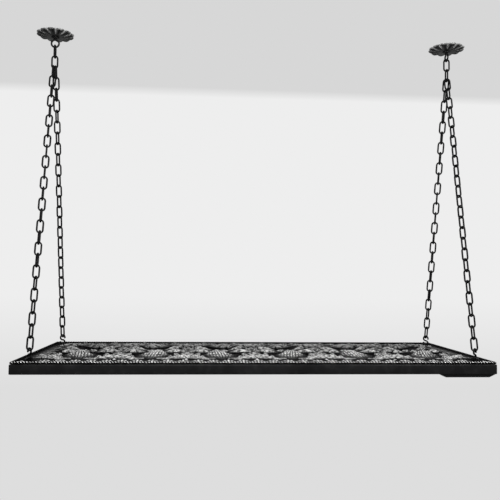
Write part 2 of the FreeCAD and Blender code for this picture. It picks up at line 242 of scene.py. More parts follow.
@dataclass(frozen=True)
class Paint:
    """Black paint on metal: cloudy tone, orange peel, dust on top, rubbed patches, and worn crests that are
    paler partly from wear and partly as painted highlight.
    """

    slot: Slot
    deep: float
    pale: float
    gloss: Pair
    specular: float
    peel: float
    dust: float
    rub: float
    rub_tone: float = 0.16
    # Paler tone on crests, read from the wear layer: partly bared metal, partly painted highlight.
    worn_and_lit: float = 0.0
    worn_and_lit_tone: float = 0.3
    cast: float = 0.0
    burnish: float = 0.0
    pit_wear_and_highlight: float = 0.2
    cast_size: float = 5.0 * MM
    cloud_size: float = 60 * MM
    grain_size: float = 1.6 * MM
    cloud_detail: float = 3.0
    grain_detail: float = 2.0
    patch_detail: float = 5.0
    noise_roughness: float = 0.55
    deep_blue: float = 1.06
    pale_blue: float = 1.05
    rub_blue: float = 0.98
    worn_and_lit_blue: float = 0.99
    cloud_span: Pair = (0.35, 0.65)
    level_span: Pair = (0.55, 0.98)
    dust_span: Pair = (0.35, 0.7)
    gloss_span: Pair = (0.2, 0.8)
    rub_span: Pair = (0.52, 0.74)
    pit_span: Pair = (0.36, 0.6)
    dust_tone: tuple[float, float, float, float] = (0.32, 0.31, 0.3, 1.0)
    dust_rough: float = 0.4
    cloud_rough: float = 0.6
    grain_rough: float = 0.4
    burnish_gloss: float = 0.2
    bump: float = 0.8

    def material(self, name: str) -> bpy.types.Material:
        """Builds the paint as a node material.

        Args:
            name: The material's name.

        Returns:
            The material.
        """
        made = bpy.data.materials.new(name)
        made.use_nodes = True
        graph = Graph(made.node_tree)
        where = graph.node("ShaderNodeTexCoord", {}, "Object")

        def noise(size: float, detail: float) -> Socket:
            """A noise over the object, with cells of a size and a number of octaves."""
            settings = {"Scale": 1.0 / size, "Detail": detail, "Roughness": self.noise_roughness}
            return graph.node("ShaderNodeTexNoise", {"Vector": where, **settings})

        cloud = graph.span(noise(self.cloud_size, self.cloud_detail), self.cloud_span, (0.0, 1.0))
        grain = noise(self.grain_size, self.grain_detail)
        patch = noise(self.cloud_size / 4, self.patch_detail)
        facing = graph.node("ShaderNodeNewGeometry", {}, "Normal")
        level = graph.span(graph.node("ShaderNodeSeparateXYZ", {0: facing}, "Z"), self.level_span, (0.0, 1.0))
        lying = level * graph.span(patch, self.dust_span, (0.0, self.dust))
        mottle = cloud * self.cloud_rough + grain * self.grain_rough
        rough = graph.span(mottle, self.gloss_span, self.gloss) + lying * self.dust_rough
        relief = grain * self.peel
        inputs: dict[int | str, object] = {"Specular IOR Level": self.specular}
        tone = graph.blend(cloud, grey(self.deep, self.deep_blue), grey(self.pale, self.pale_blue))
        rubbed_and_lit = graph.span(patch, self.rub_span, (0.0, self.rub))
        tone = graph.blend(rubbed_and_lit, tone, grey(self.rub_tone, self.rub_blue))
        # Crests get a paler tone: partly bared metal, partly a painted highlight where light would catch
        # them.
        if self.worn_and_lit:
            pit = noise(self.cast_size, self.grain_detail)
            wear_and_highlight = graph.node("ShaderNodeAttribute", {}, "Fac", attribute_name=WEAR_AND_HIGHLIGHT)
            bared_and_lit = wear_and_highlight * graph.span(pit, self.pit_span, (self.pit_wear_and_highlight * self.worn_and_lit, self.worn_and_lit))
            tone = graph.blend(bared_and_lit, tone, grey(self.worn_and_lit_tone, self.worn_and_lit_blue))
            if self.burnish:
                rough = rough - bared_and_lit * (self.burnish_gloss * self.burnish)
                relief = relief + pit * self.cast
                inputs["Metallic"] = bared_and_lit * self.burnish
        inputs["Base Color"] = graph.blend(lying, tone, self.dust_tone)
        inputs["Roughness"] = rough
        bump = {"Strength": self.bump, "Distance": 1.0, "Height": relief}
        inputs["Normal"] = graph.node("ShaderNodeBump", bump)
        graph.node("ShaderNodeOutputMaterial", {"Surface": graph.node("ShaderNodeBsdfPrincipled", inputs)})
        return made


PAINTS = {
    Finish.FRAME: Paint(
        Slot.FRAME, deep=0.004, pale=0.008, gloss=(0.3, 0.46), specular=0.09, peel=0.05 * MM,
        dust=0.05, rub=0.03,
    ),
    # The rope's crests are painted near white: a painted highlight, partly wear.
    Finish.ROPE: Paint(
        Slot.FRAME, deep=0.002, pale=0.004, gloss=(0.5, 0.64), specular=0.02, peel=0.03 * MM,
        dust=0.01, rub=0.1, rub_tone=0.01, worn_and_lit=1.0, worn_and_lit_tone=0.85,
    ),
    Finish.CHAIN: Paint(
        Slot.CHAIN, deep=0.002, pale=0.005, gloss=(0.5, 0.64), specular=0.06, peel=0.05 * MM,
        dust=0.02, rub=0.1, rub_tone=0.02,
    ),
    Finish.FITTING: Paint(
        Slot.FITTING, deep=0.003, pale=0.008, gloss=(0.34, 0.5), specular=0.1, peel=0.05 * MM,
        dust=0.02, rub=0.1, rub_tone=0.03, worn_and_lit=1.0, worn_and_lit_tone=0.6,
    ),
    Finish.GROUND: Paint(
        Slot.ORNAMENT, deep=0.004, pale=0.01, gloss=(0.6, 0.75), specular=0.0, peel=0.08 * MM,
        dust=0.03, rub=0.1, rub_tone=0.02,
    ),
    Finish.LEAF: Paint(
        Slot.ORNAMENT, deep=0.004, pale=0.012, gloss=(0.4, 0.55), specular=0.02, peel=0.08 * MM,
        dust=0.02, rub=0.2, rub_tone=0.03, worn_and_lit=1.0, worn_and_lit_tone=0.66, cast=2.2 * MM, burnish=0.3,
    ),
}


class Workshop:
    """Makes the paints once and turns finished bmeshes into pieces that ride on their bodies."""

    weld_reach = 0.01 * MM
    bevel_segments = 3

    def __init__(self) -> None:
        """Builds one material for every finish."""
        self.paints = {finish: paint.material(finish.value) for finish, paint in PAINTS.items()}

    def piece(
        self, work: "Workpiece", name: str, finish: Finish, replaces: Sequence[str], body: str | None = None,
        crease: float = 35.0,
    ) -> bpy.types.Object:
        """Ends a workpiece as an object of the rack.

        Args:
            work: The finished shape, in the row frame.
            name: The piece's name.
            finish: Its paint.
            replaces: The CAD nodes that it stands for.
            body: The body it rides on, or that of the first replaced node.
            crease: Edges sharper than this many degrees stay sharp.

        Returns:
            The object.
        """
        mesh = bpy.data.meshes.new(name)
        bmesh.ops.recalc_face_normals(work.mesh, faces=work.mesh.faces)
        work.mesh.to_mesh(mesh)
        work.mesh.free()
        mesh.shade_smooth()
        mesh.set_sharp_from_angle(angle=math.radians(crease))
        mesh.materials.append(self.paints[finish])
        made = bpy.data.objects.new(name, mesh)
        bpy.context.scene.collection.objects.link(made)
        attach(made, body or frame["nodes"][replaces[0]]["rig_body"])
        if replaces:
            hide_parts(*replaces)
        LOG.info("%s: %d faces", name, len(mesh.polygons))
        return made

    def keep(self, node: str, finish: Finish, bevel: float) -> bpy.types.Object:
        """Carries a CAD node over, with softened edges and paint.

        Args:
            node: The CAD node.
            finish: Its paint.
            bevel: The width of its softened edges.

        Returns:
            The node's object.
        """
        kept = frame["nodes"][node]
        kept.data.materials.clear()
        kept.data.materials.append(self.paints[finish])
        weld = kept.modifiers.new("weld", "WELD")
        weld.merge_threshold = self.weld_reach
        soften = kept.modifiers.new("soften", "BEVEL")
        soften.width = bevel
        soften.segments = self.bevel_segments
        soften.limit_method = "ANGLE"
        return kept


def vertices(items: Iterable[object]) -> list[BMVert]:
    """The vertices among the elements of a mesh."""
    return [item for item in items if isinstance(item, BMVert)]


def ends(edges: Iterable[BMEdge]) -> list[BMVert]:
    """The vertices of some edges, each once and in order."""
    return list(dict.fromkeys(vert for edge in edges for vert in edge.verts))


class Workpiece:
    """A bmesh that grows by operators."""

    def __init__(self) -> None:
        """Starts empty, with a layer that holds how worn each vertex is, together with its painted highlight.
        """
        self.mesh = bmesh.new()
        self.mesh.verts.layers.float.new(WEAR_AND_HIGHLIGHT)

    @property
    def elements(self) -> list[BMVert | BMEdge | BMFace]:
        """All its vertices, edges and faces."""
        return [*self.mesh.verts, *self.mesh.edges, *self.mesh.faces]

    def ring(self, sides: int, radius: float, matrix: Matrix) -> list[BMEdge]:
        """Adds a circle in the XY plane of a matrix and gives its edges."""
        made = bmesh.ops.create_circle(self.mesh, segments=sides, radius=radius, matrix=matrix)
        return list(dict.fromkeys(edge for vert in made["verts"] for edge in vert.link_edges))

    def outline(self, corners: Iterable[Sequence[float]]) -> list[BMEdge]:
        """Adds a closed loop through corners and gives its edges."""
        verts = [self.mesh.verts.new(corner) for corner in corners]
        return [self.mesh.edges.new((verts[i - 1], verts[i])) for i in range(len(verts))]

    def push(self, edges: list[BMEdge], shift: Vector, scale: float = 1.0) -> list[BMEdge]:
        """Extrudes a loop of edges.

        Args:
            edges: The loop.
            shift: How far its copy moves.
            scale: How much the copy grows about its own middle.

        Returns:
            The edges of the new loop.
        """
        made = bmesh.ops.extrude_edge_only(self.mesh, edges=edges)["geom"]
        verts = vertices(made)
        bmesh.ops.translate(self.mesh, verts=verts, vec=shift)
        self.scale(verts, sum((vert.co for vert in verts), Vector()) / len(verts), scale)
        chosen = set(verts)
        return [item for item in made if isinstance(item, BMEdge) and chosen.issuperset(item.verts)]

    def scale(self, verts: list[BMVert], middle: Vector, factor: float) -> None:
        """Scales vertices about a point."""
        space = Matrix.Translation(-middle)
        bmesh.ops.scale(self.mesh, vec=Vector((factor, factor, factor)), space=space, verts=verts)

    def turn(
        self, edges: list[BMEdge], centre: Vector, axis: Vector, angle: float, steps: int,
        shift: Vector = Vector(), closed: bool = False,
    ) -> list[BMEdge]:
        """Sweeps edges round an axis.

        Args:
            edges: The edges to sweep.
            centre: A point of the axis.
            axis: The axis's direction.
            angle: The whole turn in radians.
            steps: The number of steps.
            shift: How far each step moves along as well.
            closed: Whether the end meets the start.

        Returns:
            The edges at the end of the sweep.
        """
        swept = bmesh.ops.spin(
            self.mesh, geom=ends(edges) + edges, cent=centre, axis=axis, dvec=shift, angle=angle, steps=steps,
            use_duplicate=False, use_merge=closed,
        )
        return [item for item in swept["geom_last"] if isinstance(item, BMEdge)]

    def cap(self, edges: list[BMEdge]) -> None:
        """Fills a loop of edges with a face."""
        bmesh.ops.edgeloop_fill(self.mesh, edges=edges)

    def merge(self, distance: float = 0.002 * MM) -> None:
        """Joins vertices that lie within a distance."""
        bmesh.ops.remove_doubles(self.mesh, verts=self.mesh.verts, dist=distance)

    def round_off(self, edges: list[BMEdge], width: float, segments: int) -> None:
        """Rounds edges off.

        Args:
            edges: The edges.
            width: How far the rounding reaches on both sides.
            segments: The number of its steps.
        """
        bmesh.ops.bevel(
            self.mesh, geom=edges, offset=width, offset_type="OFFSET", affect="EDGES", segments=segments,
            profile=0.5, material=-1,
        )

    def thicken(self, wall: float) -> None:
        """Gives a sheet a wall, measured straight down so that no steep part throws a spike.

        Args:
            wall: The wall's thickness.
        """
        bmesh.ops.recalc_face_normals(self.mesh, faces=self.mesh.faces)
        made = bmesh.ops.extrude_face_region(self.mesh, geom=list(self.mesh.faces), use_keep_orig=True)
        bmesh.ops.translate(self.mesh, verts=vertices(made["geom"]), vec=UP * -wall)

    def button(self, radius: float, flat: float, lift: float = 0.0) -> None:
        """Adds a ball that is flattened to a share of its height."""
        place = Matrix.Translation((0.0, 0.0, lift)) @ Matrix.Diagonal((1, 1, flat, 1))
        bmesh.ops.create_uvsphere(self.mesh, u_segments=16, v_segments=10, radius=radius, matrix=place)

    def place(self, matrix: Matrix) -> "Workpiece":
        """Moves the whole shape and gives it back."""
        bmesh.ops.transform(self.mesh, matrix=matrix, verts=self.mesh.verts)
        return self

    def shape(self, rule: Callable[[Vector], Vector]) -> None:
        """Moves each vertex by a rule that gives the new place for an old one."""
        for vert in self.mesh.verts:
            vert.co = rule(vert.co)

    def wear_and_highlight(self, rule: Callable[[Vector], float]) -> None:
        """Sets how worn each vertex is, together with its painted highlight.

        Args:
            rule: Gives the wear and painted highlight for a place, from zero to one.
        """
        layer = self.mesh.verts.layers.float[WEAR_AND_HIGHLIGHT]
        for vert in self.mesh.verts:
            vert[layer] = rule(vert.co)

    def fade(self, rule: Callable[[Vector], float]) -> "Workpiece":
        """Lessens the wear and painted highlight by place.

        Args:
            rule: Gives the share of the wear and painted highlight that stays at a place.

        Returns:
            This workpiece.
        """
        layer = self.mesh.verts.layers.float[WEAR_AND_HIGHLIGHT]
        for vert in self.mesh.verts:
            vert[layer] *= rule(vert.co)
        return self

    def stamp(self, other: "Workpiece", places: Iterable[Matrix]) -> "Workpiece":
        """Adds copies of another shape.

        Args:
            other: The shape to copy.
            places: A transform for every copy.

        Returns:
            This workpiece.
        """
        pattern = bpy.data.meshes.new("pattern")
        other.mesh.to_mesh(pattern)
        for matrix in places:
            copy = pattern.copy()
            copy.transform(matrix)
            self.mesh.from_mesh(copy)
            bpy.data.meshes.remove(copy)
        bpy.data.meshes.remove(pattern)
        return self

    def lathe(self, profile: Sequence[Pair], steps: int) -> None:
        """Turns a closed profile about the Z axis.

        Args:
            profile: Radius and height of each corner, in order.
            steps: The number of steps of a whole turn.
        """
        edges = self.outline((radius, 0.0, height) for radius, height in profile)
        self.turn(edges, Vector(), UP, 2 * math.pi, steps, closed=True)
        self.merge()


class Wire(Workpiece):
    """Round wire bent in the XY plane, grown from its first section by straights and bends."""

    def __init__(self, diameter: float, sides: int, start: Vector, heading: float) -> None:
        """Places the first section.

        Args:
            diameter: The wire's diameter.
            sides: The number of sides of its section.
            start: Where it starts.
            heading: The direction it starts in, in degrees from X.
        """
        super().__init__()
        self.radius = diameter / 2
        self.at = start.copy()
        self.heading = math.radians(heading)
        upright = Matrix.Rotation(self.heading, 4, "Z") @ Matrix.Rotation(math.pi / 2, 4, "Y")
        self.end = self.ring(sides, self.radius, Matrix.Translation(start) @ upright)

    @property
    def way(self) -> Vector:
        """The direction the wire points in."""
        return Vector((math.cos(self.heading), math.sin(self.heading), 0.0))

    def straight(self, length: float, scale: float = 1.0) -> "Wire":
        """Grows a straight run.

        Args:
            length: Its length.
            scale: How much the section grows.

        Returns:
            This wire.
        """
        self.end = self.push(self.end, self.way * length, scale)
        self.at = self.at + self.way * length
        return self

    def bend(self, degrees: float, radius: float, steps: int, taper: float = 1.0) -> "Wire":
        """Grows a bend, to the left where the angle is positive.

        Args:
            degrees: The turn.
            radius: The bend's radius at the wire's middle.
            steps: The number of steps.
            taper: The section's size at the end, as a share of that at the start.

        Returns:
            This wire.
        """
        step = math.radians(degrees) / steps
        shrink = taper ** (1 / steps)
        for _ in range(steps):
            left = UP.cross(self.way)
            centre = self.at + left * math.copysign(radius, degrees)
            self.end = self.turn(self.end, centre, UP, step, 1)
            self.at = centre + Matrix.Rotation(step, 3, "Z") @ (self.at - centre)
            self.heading += step
            if taper != 1.0:
                self.scale(ends(self.end), self.at, shrink)
        return self

    def dome(self, steps: int = 3, flat: float = 0.4) -> "Wire":
        """Rounds the end off.

        Args:
            steps: The number of rings of the dome.
            flat: The part of a further ring that is left flat at its top.

        Returns:
            This wire.
        """
        for i in range(1, steps + 1):
            before, after = [math.pi / 2 * k / (steps + flat) for k in (i - 1, i)]
            rise = self.radius * (math.sin(after) - math.sin(before))
            self.straight(rise, math.cos(after) / math.cos(before))
        self.cap(self.end)
        return self


@dataclass(frozen=True)
class Box:
    """An upright box."""

    low: Vector
    high: Vector

    @property
    def size(self) -> Vector:
        """Its length along each axis."""
        return self.high - self.low

    @property
    def middle(self) -> Vector:
        """Its middle."""
        return (self.low + self.high) / 2

    @property
    def radius(self) -> float:
        """Half its length along X."""
        return (self.high.x - self.low.x) / 2

    def standing(self, height: float) -> Matrix:
        """A place on its upright middle line, at a height."""
        return Matrix.Translation((*self.middle.xy, height))


@dataclass(frozen=True)
class Island:
    """One loose solid of a CAD node at rest."""

    points: np.ndarray

    @property
    def axes(self) -> tuple[Vector, Vector, Vector]:
        """The directions of its longest, middle and shortest spread."""
        spread = np.cov(self.points.T)
        vectors = np.linalg.eigh(spread)[1]
        return tuple(Vector(vectors[:, i]) for i in (2, 1, 0))

    @property
    def box(self) -> Box:
        """The box round it."""
        return Box(Vector(self.points.min(0)), Vector(self.points.max(0)))

    @property
    def middle(self) -> Vector:
        """The middle of its box."""
        return self.box.middle

    def extent(self, axis: Vector) -> Pair:
        """Its least and greatest value along a unit direction."""
        along = self.points @ np.array(axis)
        return float(along.min()), float(along.max())

    def aligned(self) -> Matrix:
        """Lays a frame along it.

        Returns:
            A transform whose X runs along it, Y across its flat side and Z through it.
        """
        along, flat, _ = self.axes
        middle = Vector()
        for axis in (along, flat, along.cross(flat)):
            low, high = self.extent(axis)
            middle = middle + axis * (low + high) / 2
        return posed(along, flat, middle)

    def upright(self) -> Matrix:
        """Stands a frame in a flat upright shape.

        Returns:
            A transform whose Y is up, X along the flat side and Z through it. X points the way in which the
            shape leans less to the right with height.
        """
        flat_points = self.points - self.points.mean(0)
        thin = Vector(np.linalg.eigh(np.cov(flat_points[:, :2].T))[1][:, 0]).to_3d()
        across = UP.cross(thin).normalized()
        lean = float(np.sum((flat_points @ np.array(across)) * flat_points[:, 2]))
        if lean > 0:
            across = -across
        return posed(across, UP, self.middle)


def posed(along: Vector, across: Vector, middle: Vector) -> Matrix:
    """The transform to a frame with its X along, its Y across and its origin in the middle."""
    turned = Matrix((along, across, along.cross(across))).transposed().to_4x4()
    return Matrix.Translation(middle) @ turned


def long_axis(size: Vector) -> Vector:
    """The direction of the longer side of a box, X or Y."""
    return Vector((1.0, 0.0, 0.0)) if size.x > size.y else Vector((0.0, 1.0, 0.0))


@lru_cache(maxsize=None)
def node_box(node: str) -> Box:
    """The box of a CAD node."""
    return Box(*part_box(node))


@lru_cache(maxsize=None)
def islands(node: str) -> tuple[Island, ...]:
    """The loose solids of a CAD node.

    Args:
        node: The node's name.

    Returns:
        Its solids, from low X to high X.
    """
    work = bmesh.new()
    work.from_mesh(frame["nodes"][node].data)
    bmesh.ops.remove_doubles(work, verts=work.verts, dist=ISLAND_WELD)
    left = set(work.verts)
    found = []
    while left:
        front = [left.pop()]
        member = []
        while front:
            vert = front.pop()
            member.append(tuple(vert.co))
            near = {edge.other_vert(vert) for edge in vert.link_edges} & left
            left -= near
            front.extend(near)
        found.append(Island(np.array(sorted(member))))
    work.free()
    return tuple(sorted(found, key=lambda island: tuple(island.middle)))


def smooth_step(low: float, high: float, value: float) -> float:
    """A soft step from zero at a low value to one at a high one."""
    share = min(1.0, max(0.0, (value - low) / (high - low)))
    return share * share * (3 - 2 * share)


def top_wear_and_highlight(most: float, full: float, height: float) -> Callable[[Vector], float]:
    """Makes a rule of wear and painted highlight for round things, which are paler on top: rubbed there, and
    painted as lit from above.

    Args:
        most: The wear and painted highlight on top.
        full: The share of the height at which it is reached.
        height: The height.

    Returns:
        The rule.
    """
    def rule(point: Vector) -> float:
        """The wear and painted highlight at a point."""
        return most * smooth_step(0.1, full, point.z / height)

    return rule


@dataclass(frozen=True)
class Chains:
    """The links, the S hooks and the staples that they hold."""

    wire: float = 4.0 * MM
    sides: int = 8
    hook_sides: int = 10
    bend_steps: int = 8
    loop_ease: float = 1.04
    loop_turn: float = 268.0
    loop_steps: int = 24
    tip_share: float = 0.25
    crease: float = 60.0

    def link(self, island: Island) -> Wire:
        """One round link about its own middle.

        Args:
            island: The CAD link that it stands for.

        Returns:
            The link.
        """
        along, flat, _ = island.axes
        length, width = [high - low for low, high in (island.extent(along), island.extent(flat))]
        radius = (width - self.wire) / 2
        run = length - self.wire - 2 * radius
        link = Wire(self.wire, self.sides, Vector((-run / 2, -radius, 0.0)), 0.0)
        for _ in range(2):
            link.straight(run).bend(180, radius, self.bend_steps)
        link.merge()
        return link

    def s_hook(self, island: Island) -> Wire:
        """An S of bent wire about its own middle, with rounded tips.

        Its round loops are eased a little, because they lack the corners of the CAD's eight-sided ones.

        Args:
            island: The CAD hook that it stands for.

        Returns:
            The hook.
        """
        radius = self.loop_ease * (island.box.size.z - self.wire) / 4
        hook = Wire(self.wire, self.hook_sides, Vector(), 180.0)
        hook.bend(-self.loop_turn, radius, self.loop_steps).straight(radius * self.tip_share).dome()
        copy = vertices(bmesh.ops.duplicate(hook.mesh, geom=hook.elements)["geom"])
        bmesh.ops.rotate(hook.mesh, cent=Vector(), matrix=Matrix.Rotation(math.pi, 3, "Z"), verts=copy)
        hook.merge()
        return hook

    def staple(self, island: Island) -> Wire:
        """A wire arch about the middle of its box.

        Args:
            island: The CAD staple that it stands for.

        Returns:
            The staple.
        """
        height = island.box.size.z
        left, right = island.extent(island.upright().to_3x3().col[0])
        half = (right - left - self.wire) / 2
        corner = half / 2
        rise = height - self.wire / 2 - corner
        arch = Wire(self.wire, self.hook_sides, Vector((-half, -height / 2, 0.0)), 90.0)
        arch.cap(arch.end)
        arch.straight(rise).bend(-90, corner, self.bend_steps).straight(2 * (half - corner))
        arch.bend(-90, corner, self.bend_steps).straight(rise)
        arch.cap(arch.end)
        return arch

    def build(self, shop: Workshop) -> None:
        """Makes every chain piece.

        Args:
            shop: The workshop.
        """
        for side in SIDES:
            for name in ("top_link", "joining_link", *(f"{end}_chain" for end in ENDS)):
                node = f"{side}_{name}"
                links = islands(node)
                chain = Workpiece().stamp(self.link(links[0]), [island.aligned() for island in links])
                shop.piece(chain, f"{node}_round", Finish.CHAIN, [node], crease=self.crease)
            for end in ENDS:
                node = f"{side}_{end}_s_hook"
                hook = islands(node)[0]
                work = self.s_hook(hook).place(hook.upright())
                shop.piece(work, f"{node}_round", Finish.CHAIN, [node], crease=self.crease)
        arches = islands("corner_staples")
        staples = Workpiece().stamp(self.staple(arches[0]), [arch.upright() for arch in arches])
        shop.piece(staples, "corner_staples_round", Finish.FRAME, ["corner_staples"], crease=self.crease)


@dataclass(frozen=True)
class Fittings:
    """The ceiling canopies, collars and eyes."""

    petals: int = 12
    petal_steps: int = 12
    petal_bulge: float = 3.2 * MM
    petal_power: float = 0.55
    dish_rings: int = 14
    dish_power: float = 2.4
    wall: float = 1.3 * MM
    bore: float = 3.6 * MM
    rim_scallop: float = 0.15
    rim_notch: float = 0.025
    rim_wear_and_highlight: float = 0.5
    rib: float = 0.35 * MM
    turned_steps: int = 40
    collar_foot: float = 0.72
    collar_top: float = 0.78
    bead: Pair = (0.82, 0.18)
    bead_half: float = 0.42
    bead_steps: int = 8
    eye_wire: float = 4.2 * MM
    eye_sides: int = 12
    neck: float = 3.5 * MM
    neck_flare: float = 1.25
    neck_sink: float = 1 * MM
    neck_rise: float = 3 * MM
    shank: float = 6.0 * MM
    shank_steps: int = 24
    shank_point: float = 4 * MM
    point_share: float = 0.4
    thread_pitch: float = 1.25 * MM
    thread_depth: float = 0.55 * MM
    thread_sink: float = 0.1 * MM
    thread_short: float = 5 * MM
    thread_steps: int = 20
    tooth_shares: Pair = (0.42, 0.84)
    crease: float = 50.0

    def petal(self, point: Vector) -> float:
        """One on the middle line of a petal, zero between two petals."""
        return abs(math.cos(math.atan2(point.y, point.x) * self.petals / 2))

    def canopy(self, box: Box) -> Workpiece:
        """A fluted flower-shaped dish.

        Args:
            box: The box of the CAD canopy.

        Returns:
            The dish, in place.
        """
        dish = Workpiece()
        radius = box.radius
        edges = dish.ring(self.petals * self.petal_steps, radius, Matrix())
        for i in range(1, self.dish_rings + 1):
            before, after = [radius + (self.bore - radius) * k / self.dish_rings for k in (i - 1, i)]
            edges = dish.push(edges, Vector(), after / before)

        def fluted(point: Vector) -> Vector:
            """Drops, scallops and bulges the flat dish.

            Args:
                point: A point of the flat dish.

            Returns:
                Its place on the fluted one.
            """
            share = point.xy.length / radius
            petal = self.petal(point)
            crest = petal ** self.petal_power
            outward = smooth_step(0.34, 0.8, share)
            notch = self.rim_notch * math.exp(-(((1 - petal) / 0.02) ** 2)) * smooth_step(0.85, 1.0, share)
            reach = 1 - outward * self.rim_scallop * (1 - crest) - notch
            drop = (box.size.z - self.petal_bulge) * (1 - share ** self.dish_power)
            swell = outward * crest * (1 - smooth_step(0.9, 1.0, share) * 0.7) + 1 - outward
            rib = self.rib * outward * math.exp(-(((1 - petal) / 0.006) ** 2))
            return Vector((point.x * reach, point.y * reach, -drop - self.petal_bulge * swell - rib))

        def ridge_wear_and_highlight(point: Vector) -> float:
            """Pales the ridges between the petals, and the rim: partly wear, partly painted highlight.

            Args:
                point: A point of the flat dish.

            Returns:
                The wear and painted highlight, from zero to one.
            """
            share = point.xy.length / radius
            ridge = math.exp(-((self.petal(point) / 0.3) ** 2)) * smooth_step(0.4, 0.75, share)
            return max(ridge, self.rim_wear_and_highlight * smooth_step(0.95, 1.0, share))

        dish.wear_and_highlight(ridge_wear_and_highlight)
        dish.shape(fluted)
        bmesh.ops.solidify(dish.mesh, geom=list(dish.mesh.faces), thickness=-self.wall)
        top = max(vert.co.z for vert in dish.mesh.verts)
        return dish.place(box.standing(box.high.z - top))

    def collar(self, box: Box) -> Workpiece:
        """A turned collar with a bead round its middle.

        Args:
            box: The box of the CAD collar.

        Returns:
            The collar, in place.
        """
        collar = Workpiece()
        rim = box.radius
        height = box.size.z
        profile = [(self.shank / 2, 0.0), (rim * self.collar_foot, 0.0)]
        waist, bulge = self.bead
        for i in range(self.bead_steps + 1):
            turn = math.pi * i / self.bead_steps
            level = height * (0.5 - self.bead_half * math.cos(turn))
            profile.append((rim * (waist + bulge * math.sin(turn)), level))
        profile += [(rim * self.collar_top, height), (self.shank / 2, height)]
        collar.lathe(profile, self.turned_steps)
        return collar.place(box.standing(box.low.z))

    def thread(self, root: float, length: float) -> Workpiece:
        """The thread of a shank that starts at the origin.

        Args:
            root: The radius between its turns.
            length: The length of the shank.

        Returns:
            The thread.
        """
        thread = Workpiece()
        inner = root - self.thread_sink
        middle, end = [self.thread_pitch * share for share in self.tooth_shares]
        tooth = thread.outline(((inner, 0.0, 0.0), (self.shank / 2, 0.0, middle), (inner, 0.0, end)))
        thread.cap(tooth)
        turns = int((length - self.thread_short) / self.thread_pitch)
        rise = UP * (self.thread_pitch / self.thread_steps)
        steps = self.thread_steps * turns
        thread.cap(thread.turn(tooth, Vector(), UP, 2 * math.pi * turns, steps, rise))
        return thread

    def eye(self, box: Box) -> Workpiece:
        """A ring under a neck, and a threaded shank that ends in a point.

        Args:
            box: The box of the CAD eye bolt.

        Returns:
            The eye bolt, in place.
        """
        tip = box.high.z
        radius = (max(box.size.xy) - self.eye_wire) / 2
        ring = Wire(self.eye_wire, self.eye_sides, Vector((0.0, -radius, 0.0)), 0.0)
        ring.bend(360, radius, self.turned_steps).merge()
        centre = box.low.z + self.eye_wire / 2 + radius
        foot = centre + radius - self.neck_sink
        root = self.shank / 2 - self.thread_depth
        core = Workpiece()
        core.lathe([
            (0.0, foot), (self.neck * self.neck_flare, foot), (self.neck, centre + radius + self.neck_rise),
            (self.neck, 0.0), (root, 0.0), (root, tip - self.shank_point), (root * self.point_share, tip),
            (0.0, tip),
        ], self.shank_steps)
        eye = Workpiece().stamp(ring, [posed(long_axis(box.size), UP, Vector((0.0, 0.0, centre)))])
        eye.stamp(core, [Matrix()]).stamp(self.thread(root, tip), [Matrix()])
        return eye.place(box.standing(0.0))

    def build(self, shop: Workshop) -> None:
        """Makes every ceiling fitting.

        Args:
            shop: The workshop.
        """
        for side in SIDES:
            for kind, make in (("canopy", self.canopy), ("collar", self.collar), ("eye_bolt", self.eye)):
                node = f"{side}_{kind}"
                work = make(node_box(node))
                shop.piece(work, f"{node}_formed", Finish.FITTING, [node], crease=self.crease)


